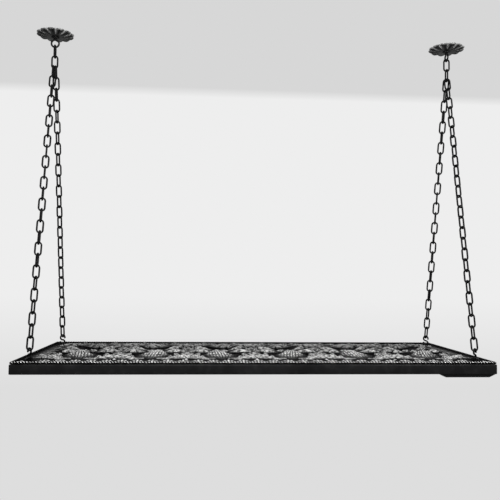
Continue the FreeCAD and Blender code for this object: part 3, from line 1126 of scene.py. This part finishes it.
@dataclass(frozen=True)
class ShelfFrame:
    """The tube frame, its rope border and the flat bars."""

    corner: float = 4.0 * MM
    corner_steps: int = 4
    edge: float = 1.6 * MM
    edge_steps: int = 3
    sharp: float = 60.0
    strands: int = 3
    strand_power: float = 0.8
    lead: float = 18.0 * MM
    lead_steps: int = 16
    rope_sides: int = 18
    rope_crease: float = 70.0
    groove: float = 0.45
    crest_span: Pair = (0.25, 0.02)
    rubbed_and_lit_span: Pair = (0.84, 0.96)
    least_highlight_share: float = 0.15
    bar_edge: float = 1.2 * MM

    def tubes(self) -> Workpiece:
        """The welded frame as one ring with rounded edges.

        Returns:
            The frame, in place.
        """
        front = node_box("front_tube")
        size = Vector((front.size.x, -2 * front.low.y, front.size.z))
        ring = Workpiece()
        bmesh.ops.create_cube(ring.mesh, size=1.0, matrix=Matrix.Diagonal((*size, 1.0)))
        flat = [face for face in ring.mesh.faces if abs(face.normal.z) > 0.5]
        corners = [edge for edge in ring.mesh.edges if edge.verts[0].co.z * edge.verts[1].co.z < 0]
        bmesh.ops.inset_individual(ring.mesh, faces=flat, thickness=front.size.y, use_even_offset=True)
        loops = list(dict.fromkeys(edge for face in flat for edge in face.edges))
        bmesh.ops.delete(ring.mesh, geom=flat, context="FACES_ONLY")
        bmesh.ops.bridge_loops(ring.mesh, edges=loops)
        ring.round_off(corners, self.corner, self.corner_steps)
        ring.mesh.normal_update()
        sharp = [edge for edge in ring.mesh.edges if edge.calc_face_angle(0.0) > math.radians(self.sharp)]
        ring.round_off(sharp, self.edge, self.edge_steps)
        return ring.place(Matrix.Translation((0.0, 0.0, front.middle.z)))

    def rope(self, box: Box) -> Workpiece:
        """One side of the border: strands laid round each other, mitred at both ends.

        Args:
            box: The box of the CAD rope.

        Returns:
            The rope, in place.
        """
        along = long_axis(box.size)
        length = max(box.size.xy)
        radius = box.size.z / 2
        turn = Workpiece()
        section = turn.ring(self.rope_sides, radius, Matrix())

        def laid(point: Vector) -> Vector:
            """Draws a point of the round section in where two strands meet."""
            strand = math.atan2(point.y, point.x) * self.strands / 2
            return point * (1 - self.groove * (1 - abs(math.cos(strand)) ** self.strand_power))

        turn.shape(laid)
        turn.turn(section, Vector(), UP, 2 * math.pi, self.lead_steps, UP * (self.lead / self.lead_steps))
        count = math.ceil(length / self.lead) + 1
        lengthwise = posed(UP.cross(along), UP, Vector())
        starts = [Vector((0.0, 0.0, (i - count / 2) * self.lead)) for i in range(count)]
        rope = Workpiece().stamp(turn, [lengthwise @ Matrix.Translation(start) for start in starts])
        rope.merge()
        outward = box.middle.xy.to_3d().normalized()
        for way in BOTH:
            bmesh.ops.bisect_plane(
                rope.mesh, geom=rope.elements, plane_co=along * way * length / 2 + outward * radius,
                plane_no=along * way - outward, clear_outer=True,
            )
            rim = [edge for edge in rope.mesh.edges if edge.is_boundary]
            rope.cap([edge for edge in rim if edge.verts[0].co.dot(along) * way > 0])

        def worn_and_lit(point: Vector) -> float:
            """Pales the strands' crests where they face up and out, most on the front side: a painted
            highlight, partly wear, with only the least share on the other sides as painted shade.

            Args:
                point: A point of the rope.

            Returns:
                The wear and painted highlight, from zero to one.
            """
            off = point - along * point.dot(along)
            groove, crest = [1 - self.groove * share for share in self.crest_span]
            rubbed_and_lit = smooth_step(*self.rubbed_and_lit_span, off.normalized().dot((outward + UP).normalized()))
            return smooth_step(groove, crest, off.length / radius) * rubbed_and_lit * max(self.least_highlight_share, -outward.y)

        rope.wear_and_highlight(worn_and_lit)
        return rope.place(Matrix.Translation(box.middle))

    def build(self, shop: Workshop) -> None:
        """Makes the frame's pieces.

        Args:
            shop: The workshop.
        """
        names = ENDS + SIDES
        shop.piece(self.tubes(), "welded_frame", Finish.FRAME, [f"{name}_tube" for name in names])
        for name in names:
            node = f"{name}_rope"
            work = self.rope(node_box(node))
            shop.piece(work, f"{node}_laid", Finish.ROPE, [node], crease=self.rope_crease)
        for node in ("left_cross_bar", "right_cross_bar", "under_lug"):
            shop.keep(node, Finish.FRAME, self.bar_edge)


@dataclass(frozen=True)
class Leaf:
    """A lobed, ribbed and mounded leaf, from its root along Y to its tip."""

    length: float
    width: float
    rise: float
    lobes: int
    ribs: int
    across: int
    along: int
    wall: float = 1.2 * MM
    crown: float = 0.78
    tip_lift: float = 0.7
    tip_start: float = 0.9999
    root_share: float = 0.36
    curl: float = 0.0
    wear_and_highlight_share: float = 1.0
    edge_fall: float = 0.85
    lobe_width: Pair = (0.66, 0.34)
    lobe_sweep: float = 0.55
    rib_rise: float = 0.4
    vein_rise: float = 0.22
    rim_lift: float = 0.1
    sink: float = 0.2

    def build(self) -> Workpiece:
        """Shapes a grid into the leaf.

        Returns:
            The leaf, root at the origin, lying on the XY plane.
        """
        leaf = Workpiece()
        bmesh.ops.create_grid(leaf.mesh, x_segments=self.across, y_segments=self.along, size=0.5)
        leaf.wear_and_highlight(self.worn_and_lit)
        leaf.shape(self.formed)
        leaf.merge()
        leaf.thicken(self.wall)
        return leaf

    def crest(self, side: float) -> float:
        """Zero in a groove and one on the crest of a rib; the side goes from minus one to one."""
        return abs(math.cos(math.pi * self.ribs * side)) ** 0.7

    def mound(self, side: float, share: float) -> float:
        """The height of the leaf without its ribs.

        Args:
            side: The place across the leaf, from minus one to one.
            share: The place along it, from zero at its root to one at its tip.

        Returns:
            The height as a share of the leaf's rise.
        """
        climb = smooth_step(-0.1, self.crown, share)
        fall = 1 - (1 - self.tip_lift) * smooth_step(self.crown, 1.0, share)
        return climb * fall * (1 - self.edge_fall * abs(side) ** 1.7)

    def worn_and_lit(self, point: Vector) -> float:
        """How worn one point of the leaf is, and how strong its painted highlight: most on the crests of its
        high part, while grooves, low parts and clefts stay black as painted shade.

        Args:
            point: Its place on a unit square.

        Returns:
            The wear and painted highlight, from zero to one.
        """
        side = 2 * point.x
        share = point.y + 0.5
        high = smooth_step(0.1, 0.6, self.mound(side, share))
        lobe = abs(math.sin(math.pi * share * self.lobes))
        # The clefts between lobes get no painted highlight and stay dark: painted shade in the recesses.
        cleft = 1 - (1 - smooth_step(0.15, 0.8, lobe)) * smooth_step(0.1, 0.4, abs(side))
        return self.wear_and_highlight_share * high * cleft * smooth_step(0.5, 0.9, self.crest(side))

    def formed(self, point: Vector) -> Vector:
        """The place of one point of the leaf, whose tip is a single point.

        Args:
            point: Its place on a unit square.

        Returns:
            Its place on the leaf.
        """
        share = point.y + 0.5
        side = 2 * point.x if share < self.tip_start else 0.0
        reach = abs(side)
        lobe = abs(math.sin(math.pi * (share * self.lobes))) ** 0.6
        body = math.sin(math.pi * min(1.0, share ** 0.85)) ** 0.7
        outline = self.root_share * (1 - share) ** 2 + (1 - 0.6 * self.root_share) * body
        least, more = self.lobe_width
        half = self.width / 2 * outline * (least + more * lobe)
        sweep = self.length / self.lobes * self.lobe_sweep * reach ** 1.4 * (1 - share)
        rib = self.crest(side) - 0.6
        vein = self.vein_rise * (lobe - 0.55) * smooth_step(0.15, 0.6, reach)
        mound = self.mound(side, share)
        height = self.rise * (mound + self.rib_rise * rib * (0.35 + 0.65 * mound) + vein)
        lift = self.rim_lift * self.rise * smooth_step(0.75, 1.0, reach)
        drift = self.curl * self.width * share ** 2
        level = max(height + lift, -self.sink * self.wall)
        return Vector((side * half + drift, share * self.length + sweep, level))


@dataclass(frozen=True)
class Ornament:
    """The pierced plate and the carpet of leaves, stems, volutes and rosettes on it."""

    arc_steps: int = 10
    crescent_outer_shares: tuple[Pair, ...] = ((0.27, -0.46), (0.455, -0.27), (0.16, -0.055))
    crescent_inner_shares: tuple[Pair, ...] = ((0.27, -0.46), (0.345, -0.26), (0.16, -0.055))
    side_lens_shares: tuple[Pair, ...] = ((0.17, 0.0), (0.29, -0.032), (0.41, 0.0))
    edge_lens_shares: tuple[Pair, ...] = ((0.5, -0.45), (0.54, -0.37), (0.5, -0.29))
    slot: Pair = (25.0 * MM, 8.0 * MM)
    hook_room: float = 34.0 * MM
    leaf_root_inset: float = 15.4 * MM
    petals: int = 8
    small_rise: float = 2.6 * MM
    border_leaf_pitch: float = 31.0 * MM
    border_leaf_share: float = 1.1
    border_lap: float = 4 * MM
    corner_leaf: float = 22.0 * MM
    corner_share: float = 0.8
    stem: float = 6.0 * MM
    stem_sides: int = 8
    stem_lift: float = 1.2 * MM
    stem_start: Pair = (0.08, -0.45)
    bud_shares: tuple[float, ...] = (0.35, 0.75, 1.0)
    stem_steps: int = 16
    stem_taper: float = 0.8
    stem_wear_and_highlight: Pair = (0.35, 0.8)
    curls: tuple[tuple[float, float, float], ...] = ((-200.0, 0.8, 0.7), (-260.0, 0.5, 0.6))
    curl_steps: int = 14
    leaflets_on_stem: int = 6
    leaflet_bend: float = 0.36
    leaflet_lean: float = 48.0
    leaflet_hub: float = 3 * MM
    volute_ring: float = 0.78
    volute_wire: float = 1.3
    volute_steps: int = 24
    volute_eye: Pair = (0.42, 0.75)
    volute_wear_and_highlight: Pair = (0.5, 0.9)
    flower_button: tuple[float, float, float] = (0.26, 0.7, 3.6 * MM)
    end_highlight_share: float = 0.4
    # Share of the painted highlight kept at the back of the panel: painted shade there.
    back_highlight_share: float = 0.55
    highlight_fade_span: Pair = (-0.3, 0.4)
    crease: float = 60.0

    @cached_property
    def top(self) -> float:
        """The height of the plate's upper side."""
        return node_box("pierced_panel").high.z

    @cached_property
    def centres(self) -> list[Vector]:
        """The middle of each cell, on the plate."""
        return [Vector((boss.middle.x, 0.0, self.top)) for boss in islands("rosettes")]

    @cached_property
    def hooks(self) -> list[Island]:
        """The four S hooks."""
        return [islands(f"{side}_{end}_s_hook")[0] for side in SIDES for end in ENDS]

    def clear(self, at: Pair) -> bool:
        """Whether a place is well clear of the hooks."""
        return all((hook.middle.xy - Vector(at)).length > self.hook_room for hook in self.hooks)

    @cached_property
    def pitch(self) -> float:
        """The length of a cell."""
        centres = self.centres
        return centres[1].x - centres[0].x

    @cached_property
    def field(self) -> float:
        """The depth of the ornamented field."""
        root = max(leaf.box.high.y for leaf in islands("leaf_ornaments"))
        return 2 * (root + self.leaf_root_inset)

    def arc(self, shares: Sequence[Pair], centre: Vector, mirror: tuple[int, int]) -> list[Vector]:
        """Points of a bowed line through three places of a cell.

        Args:
            shares: The places as shares of the pitch and of the field.
            centre: The cell's middle.
            mirror: The signs along X and Y.

        Returns:
            The points, both ends included.
        """
        first, middle, last = [
            Vector((centre.x + mirror[0] * x * self.pitch, mirror[1] * y * self.field)) for x, y in shares
        ]
        chord = last - first
        bow = middle - (first + last) / 2
        points = []
        for i in range(self.arc_steps + 1):
            share = i / self.arc_steps
            points.append(first + chord * share + bow * (4 * share * (1 - share)))
        return points

    def openings(self) -> list[list[Vector]]:
        """The outline of every opening of the plate.

        Returns:
            Closed loops of points.
        """
        loops = []
        centres = self.centres
        for centre in centres:
            for side in BOTH:
                upper = self.arc(self.side_lens_shares, centre, (side, 1))
                lower = self.arc(self.side_lens_shares, centre, (side, -1))
                loops.append(upper + lower[-2:0:-1])
                for end in BOTH:
                    outer = self.arc(self.crescent_outer_shares, centre, (side, end))
                    inner = self.arc(self.crescent_inner_shares, centre, (side, end))
                    loops.append(outer + inner[-2:0:-1])
        for centre in centres[:-1]:
            for end in BOTH:
                right = self.arc(self.edge_lens_shares, centre, (1, end))
                edge = centre.x + self.pitch / 2
                left = [Vector((2 * edge - point.x, point.y)) for point in right]
                loops.append(right + left[-2:0:-1])
        for hook in self.hooks:
            place = hook.upright()
            half = self.slot[1] / 2
            reach = self.slot[0] / 2 - half
            loop = []
            for i in range(2 * self.arc_steps):
                turn = math.pi * (i + 0.5) / self.arc_steps
                end = math.copysign(reach, math.cos(turn))
                loop.append((place @ Vector((end + math.cos(turn) * half, 0.0, math.sin(turn) * half))).xy)
            loops.append(loop)
        return loops

    def plate(self) -> Workpiece:
        """The pierced plate.

        Returns:
            The plate, in place.
        """
        box = node_box("pierced_panel")
        low, high = box.low, box.high
        plate = Workpiece()
        corners = ((low.x, low.y), (high.x, low.y), (high.x, high.y), (low.x, high.y))
        edges = []
        for loop in [[Vector(corner) for corner in corners], *self.openings()]:
            edges += plate.outline((point.x, point.y, high.z) for point in loop)
        bmesh.ops.triangle_fill(plate.mesh, use_beauty=True, edges=edges, normal=UP)
        plate.thicken(box.size.z)
        return plate

    def laid(self, at: Pair, towards: float, lift: float = 0.0) -> Matrix:
        """A leaf's place on the plate, with its tip that many degrees to the left of +Y."""
        return Matrix.Translation((*at, self.top + lift)) @ Matrix.Rotation(math.radians(towards), 4, "Z")

    def quarters(self, lift: float = 0.0) -> list[Matrix]:
        """A transform to every quarter of every cell, mirrored about the cell's middle.

        Args:
            lift: The height over the plate.

        Returns:
            The transforms.
        """
        return [
            Matrix.Translation(centre + UP * lift) @ Matrix.Diagonal((x, -y, 1.0, 1.0))
            for centre in self.centres for x, y in QUARTERS
        ]

    def whorl(self, shift: float, root: tuple[float, float, float]) -> list[Matrix]:
        """Places round a flower's middle.

        Args:
            shift: The share of a place by which the whole row is turned.
            root: The root of an unturned petal.

        Returns:
            A transform for each petal.
        """
        step = 2 * math.pi / self.petals
        turns = [Matrix.Rotation(step * (i + shift), 4, "Z") for i in range(self.petals)]
        return [turn @ Matrix.Translation(root) for turn in turns]

    def great_leaves(self) -> Workpiece:
        """The large leaves, one for each of the CAD leaves.

        Returns:
            The leaves, in place.
        """
        bodies = islands("leaf_ornaments")
        size = bodies[0].box.size
        leaf = Leaf(size.y, size.x, rise=10.5 * MM, lobes=5, ribs=5, across=60, along=40, curl=0.22)
        places = []
        for i, body in enumerate(bodies):
            front = body.middle.y < 0
            root = body.box.low.y if front else body.box.high.y
            place = self.laid((body.middle.x, root), 0 if front else 180)
            places.append(place @ Matrix.Diagonal((1 if i // 2 % 2 else -1, 1.0, 1.0, 1.0)))
        return Workpiece().stamp(leaf.build(), places)

    def small_leaves(self) -> Workpiece:
        """The leaves beside the large ones and between the rosettes and the volutes.

        Returns:
            The leaves, in place.
        """
        beside = Leaf(62 * MM, 42 * MM, rise=6.5 * MM, lobes=4, ribs=3, across=30, along=22, curl=0.2)
        between = Leaf(48 * MM, 34 * MM, rise=8.0 * MM, lobes=3, ribs=3, across=28, along=18, curl=-0.2)
        leaves = Workpiece()
        for leaf, share, lean, lift in (
            (beside, (0.17, 0.45), 58, 0.0),
            (between, (0.1, 0.04), 122, 0.4 * MM),
        ):
            places = []
            for centre in self.centres:
                for x, y in QUARTERS:
                    at = (centre.x + x * share[0] * self.pitch, y * share[1] * self.field)
                    places.append(self.laid(at, (0 if y < 0 else 180) + x * y * lean, lift))
            leaves.stamp(leaf.build(), places)
        return leaves

    def border_leaves(self) -> Workpiece:
        """The row of leaves between the field and the rope border.

        Returns:
            The leaves, in place.
        """
        box = node_box("pierced_panel")
        depth = (box.size.y - self.field) / 2
        leaf = Leaf(
            depth, self.border_leaf_pitch * self.border_leaf_share, rise=self.small_rise, lobes=2, ribs=2,
            across=24, along=14, tip_lift=0.0, crown=0.3,
        )
        half = box.high.xy - Vector((depth, depth))
        border = Workpiece()
        for run, offset, at_ends in ((half.x, half.y, False), (half.y, half.x, True)):
            places = []
            count = round(2 * run / self.border_leaf_pitch)
            for i in range(count):
                along = 2 * run * ((i + 0.5) / count - 0.5)
                for way in BOTH:
                    out = way * (offset - self.border_lap)
                    at = (out, along) if at_ends else (along, out)
                    heading = -90 * way if at_ends else 90 - 90 * way
                    if self.clear(at):
                        places.append(self.laid(at, heading))
            # The leaves along the panel's ends keep less of their painted highlight: a painted shade at the
            # ends.
            wear_and_highlight = self.end_highlight_share if at_ends else 1.0
            border.stamp(replace(leaf, wear_and_highlight_share=wear_and_highlight).build(), places)
        size = self.corner_leaf
        corner_leaf = replace(leaf, length=size, width=size * self.corner_share, across=20)
        root = box.high.xy - Vector((size, size)) * self.corner_share
        places = [
            self.laid((x * root.x, y * root.y), -45 * x if y > 0 else 180 + 45 * x) for x, y in QUARTERS
        ]
        return border.stamp(corner_leaf.build(), places)

    @property
    def stem_root(self) -> Vector:
        """Where the stem of a quarter starts, from the cell's middle."""
        return Vector((self.stem_start[0] * self.pitch, self.stem_start[1] * self.field, 0.0))

    def stems(self) -> Workpiece:
        """The stems that run from the large leaves round to the volutes.

        Returns:
            The stems, in place.
        """
        volute = islands("scroll_ornaments")[0]
        ring = volute.box.radius
        start = self.stem_root
        finish = Vector((self.pitch / 2 - ring * self.curls[0][1], -abs(volute.middle.y), 0.0))
        stem = Wire(self.stem * self.bud_shares[0], self.stem_sides, start, 0.0)
        stem.cap(stem.end)
        for thin, thick in zip(self.bud_shares, self.bud_shares[1:]):
            stem.straight(self.stem / 2 * (thick - thin), thick / thin)
        stem.bend(90, finish.x - start.x, self.stem_steps, self.stem_taper)
        stem.straight(max(finish.y - stem.at.y, MM))
        for degrees, share, taper in self.curls:
            stem.bend(degrees, ring * share, self.curl_steps, taper)
        stem.dome()
        stem.wear_and_highlight(top_wear_and_highlight(*self.stem_wear_and_highlight, self.stem / 2))
        return Workpiece().stamp(stem, self.quarters(self.stem_lift))

    def leaflets(self) -> Workpiece:
        """The small leaves that grow from both sides of the stems, and the flowers between two cells.

        Returns:
            The leaflets, in place.
        """
        leaflet = Leaf(30 * MM, 20 * MM, rise=5.5 * MM, lobes=2, ribs=2, across=12, along=8)
        count = self.leaflets_on_stem
        places = []
        for mirror in self.quarters():
            for i in range(count):
                turn = math.pi / 2 * (i + 0.6) / count
                way = 1 if i % 2 else -1
                arc = Vector((math.sin(turn), 1 - math.cos(turn))) * (self.leaflet_bend * self.pitch)
                spin = Matrix.Rotation(turn - math.pi / 2 + way * math.radians(self.leaflet_lean), 4, "Z")
                places.append(mirror @ Matrix.Translation((*(self.stem_root.xy + arc), 0.0)) @ spin)
        for centre in self.centres[:-1]:
            middle = Matrix.Translation(centre + Vector((self.pitch / 2, 0.0, 0.0)))
            places += [middle @ place for place in self.whorl(0.5, (0.0, self.leaflet_hub, 0.0))]
        return Workpiece().stamp(leaflet.build(), places)

    def volutes(self) -> Workpiece:
        """A ring and a round eye at each meeting of two stems.

        Returns:
            The volutes, in place.
        """
        bodies = islands("scroll_ornaments")
        radius = bodies[0].box.radius
        rise = bodies[0].box.size.z
        ring = radius * self.volute_ring
        volute = Wire(rise * self.volute_wire, self.stem_sides, Vector((0.0, -ring, 0.0)), 0.0)
        volute.bend(360, ring, self.volute_steps).merge()
        share, flat = self.volute_eye
        volute.button(radius * share, flat)
        volute.wear_and_highlight(top_wear_and_highlight(*self.volute_wear_and_highlight, rise * 0.6))
        return Workpiece().stamp(volute, [body.box.standing(body.box.low.z + MM) for body in bodies])

    def rosettes(self) -> Workpiece:
        """A flower of petals in two rows round a button in the middle of every cell.

        Returns:
            The rosettes, in place.
        """
        radius = islands("rosettes")[0].box.radius
        outer = Leaf(radius * 0.95, radius * 0.72, rise=3.4 * MM, lobes=1, ribs=1, across=8, along=8)
        inner = Leaf(radius * 0.6, radius * 0.5, rise=3.0 * MM, lobes=1, ribs=1, across=8, along=6)
        flower = Workpiece()
        for petal, hub, lift, shift in ((outer, 0.14, 0.6 * MM, 0.0), (inner, 0.1, 2.0 * MM, 0.5)):
            flower.stamp(petal.build(), self.whorl(shift, (0.0, radius * hub, lift)))
        share, flat, lift = self.flower_button
        flower.button(radius * share, flat, lift)
        return Workpiece().stamp(flower, [Matrix.Translation(centre) for centre in self.centres])

    def highlight_falloff(self, place: Vector) -> float:
        """The share of its wear and painted highlight that a place keeps: all at the front and less towards
        the back, a painted shade at the back.
        """
        return 1 - (1 - self.back_highlight_share) * smooth_step(*self.highlight_fade_span, place.y / self.field)

    def build(self, shop: Workshop) -> None:
        """Makes the ornament's pieces.

        Args:
            shop: The workshop.
        """
        body = frame["nodes"]["pierced_panel"]["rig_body"]
        shop.piece(self.plate(), "pierced_plate", Finish.GROUND, ["pierced_panel"])
        for name, work, nodes in (
            ("great_leaves", self.great_leaves(), ["leaf_ornaments"]),
            ("small_leaves", self.small_leaves(), []),
            ("border_leaves", self.border_leaves(), []),
            ("leaflets", self.leaflets(), []),
            ("scroll_stems", self.stems(), []),
            ("volutes", self.volutes(), ["scroll_ornaments"]),
            ("flower_rosettes", self.rosettes(), ["rosettes"]),
        ):
            shop.piece(work.fade(self.highlight_falloff), name, Finish.LEAF, nodes, body, self.crease)


@dataclass(frozen=True)
class Lamp:
    """A soft square lamp that points at the shelf."""

    name: str
    place: tuple[float, float, float]
    size: float
    power: float

    def build(self) -> None:
        """Hangs the lamp."""
        data = bpy.data.lights.new(self.name, "AREA")
        data.size = self.size
        data.energy = self.power
        made = bpy.data.objects.new(self.name, data)
        place = Vector(self.place)
        shelf = Vector((0.0, 0.0, CAD_BOX[0].z))
        made.location = place
        made.rotation_euler = (shelf - place).to_track_quat("-Z", "Y").to_euler()
        bpy.context.scene.collection.objects.link(made)


@dataclass(frozen=True)
class Studio:
    """The pale surround, the floor, the lamps and the photograph's camera."""

    camera_place: Vector = Vector((-0.1138, -1.4654, -0.572))
    yaw: float = 4.128
    pitch: float = 2.656
    roll: float = 0.564
    focal_pixels: float = 619.3
    image_pixels: float = 500.0
    sensor: float = 36.0
    clip_start: float = 0.05
    wall: float = 0.855
    ceiling: float = 0.68
    # Tone of the lower wall, darkened as a painted shadow of the rack on the wall.
    low_wall: float = 0.73
    overhead: float = 0.3
    behind: float = 0.18
    aside: float = 0.25
    least_reach: float = 0.01
    low_wall_slope: Pair = (-0.17, -0.03)
    ceiling_slope: Pair = (0.292, 0.307)
    overhead_span: Pair = (0.42, 0.6)
    behind_span: Pair = (-0.5, 0.1)
    aside_span: Pair = (0.25, 0.6)
    floor_drop: float = 1.1
    floor_half: float = 2.15
    floor_share: float = 0.65
    ceiling_patch: float = 0.095
    ceiling_gap: float = 0.3 * MM
    ceiling_sides: int = 64
    lamps: tuple[Lamp, ...] = (
        Lamp("front_lamp", (-0.2, -0.6, -0.1), size=0.4, power=10.0),
        Lamp("right_lamp", (0.65, -0.7, -0.1), size=0.3, power=9.0),
    )

    def seen(self, graph: Graph) -> Socket:
        """Marks the rays that show the pale background: the camera's, reflected and transmitted ones.

        Args:
            graph: The graph that uses the mark.

        Returns:
            One for such rays, zero for the others.
        """
        kinds = ("Is Camera Ray", "Is Glossy Ray", "Is Transmission Ray")
        first, second, third = [graph.node("ShaderNodeLightPath", {}, kind) for kind in kinds]
        return first.most(second).most(third)

    def surround(self) -> None:
        """A pale room that lights the rack from ahead and above more than from the sides and from behind."""
        world = bpy.data.worlds.new("studio")
        bpy.context.scene.world = world
        world.use_nodes = True
        graph = Graph(world.node_tree)
        way = graph.node("ShaderNodeTexCoord", {}, "Generated")
        across, ahead, above = [graph.node("ShaderNodeSeparateXYZ", {0: way}, axis) for axis in "XYZ"]
        slope = above / (abs(across).most(abs(ahead)) + self.least_reach)
        # The wall darkens downwards to the low wall tone: a painted shadow of the rack on the wall.
        room = graph.span(slope, self.low_wall_slope, (self.low_wall, self.wall))
        room = room - graph.span(slope, self.ceiling_slope, (0.0, self.wall - self.ceiling))
        light = room - graph.span(above, self.overhead_span, (0.0, self.ceiling - self.overhead))
        light = light * graph.span(ahead, self.behind_span, (self.behind, 1.0))
        light = light * graph.span(across * across, self.aside_span, (1.0, self.aside))
        light = light + (room - light) * self.seen(graph)
        shade = graph.node("ShaderNodeBackground", {"Color": light, "Strength": 1.0})
        graph.node("ShaderNodeOutputWorld", {"Surface": shade})

    def pale(self, name: str, tone: float, share: float) -> bpy.types.Material:
        """A pale surface that takes shadows and shows a set tone in part.

        Args:
            name: The material's name.
            tone: Its tone.
            share: How much of the tone shows whatever the light.

        Returns:
            The material.
        """
        made = bpy.data.materials.new(name)
        made.use_nodes = True
        graph = Graph(made.node_tree)
        shader = graph.node("ShaderNodeMixShader", {
            0: self.seen(graph) * share,
            1: graph.node("ShaderNodeBsdfDiffuse", {"Color": grey(tone)}),
            2: graph.node("ShaderNodeEmission", {"Color": grey(tone)}),
        })
        graph.node("ShaderNodeOutputMaterial", {"Surface": shader})
        return made

    def stand(self, name: str, work: BMesh, paint: bpy.types.Material) -> None:
        """Ends a shape as an object of the stage.

        Args:
            name: The object's name.
            work: The shape.
            paint: Its material.
        """
        mesh = bpy.data.meshes.new(name)
        work.to_mesh(mesh)
        work.free()
        mesh.materials.append(paint)
        made = bpy.data.objects.new(name, mesh)
        bpy.context.scene.collection.objects.link(made)
        made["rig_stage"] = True

    def floor(self) -> None:
        """A plain pale floor well below the rack."""
        work = bmesh.new()
        place = Matrix.Translation((0.0, 0.0, CAD_BOX[0].z - self.floor_drop))
        bmesh.ops.create_grid(work, x_segments=1, y_segments=1, size=self.floor_half, matrix=place)
        self.stand("floor", work, self.pale("pale_floor", self.low_wall, self.floor_share))

    def ceiling_patches(self) -> None:
        """A round piece of pale ceiling on each canopy, with the shank of its eye through it."""
        paint = self.pale("pale_ceiling", self.ceiling, 1.0)
        for side in SIDES:
            box = node_box(f"{side}_canopy")
            work = bmesh.new()
            bmesh.ops.create_circle(
                work, cap_ends=True, segments=self.ceiling_sides, radius=self.ceiling_patch,
                matrix=box.standing(box.high.z + self.ceiling_gap),
            )
            self.stand(f"{side}_ceiling", work, paint)

    def camera(self) -> None:
        """The camera fitted to the photograph."""
        yaw, pitch, roll = [math.radians(angle) for angle in (self.yaw, self.pitch, self.roll)]
        ahead = Vector((math.sin(yaw) * math.cos(pitch), math.cos(yaw) * math.cos(pitch), math.sin(pitch)))
        right = Vector((math.cos(yaw), -math.sin(yaw), 0.0))
        above = right.cross(ahead)
        turned = right * math.cos(roll) + above * math.sin(roll)
        upper = above * math.cos(roll) - right * math.sin(roll)
        data = bpy.data.cameras.new("camera")
        data.sensor_width = self.sensor
        data.lens = self.focal_pixels / self.image_pixels * self.sensor
        data.clip_start = self.clip_start
        made = bpy.data.objects.new("camera", data)
        made.matrix_world = posed(turned, upper, self.camera_place)
        bpy.context.scene.collection.objects.link(made)
        bpy.context.scene.camera = made

    def build(self) -> None:
        """Sets the scene up round the rack."""
        bpy.context.scene.view_settings.view_transform = "Standard"
        self.surround()
        self.floor()
        self.ceiling_patches()
        for lamp in self.lamps:
            lamp.build()
        self.camera()


def write_size() -> None:
    """Turns the CAD's box and the finished object's box into JSON text, which is not kept."""
    boxes = {"cad": CAD_BOX, "visual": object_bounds()}
    json.dumps({name: [list(corner) for corner in box] for name, box in boxes.items()})


def main() -> None:
    """Builds the looks of the rack and the studio round it."""
    logging.basicConfig(level=logging.INFO)
    shop = Workshop()
    Chains().build(shop)
    Fittings().build(shop)
    ShelfFrame().build(shop)
    Ornament().build(shop)
    Studio().build()
    write_size()


if __name__ == "__main__":
    main()
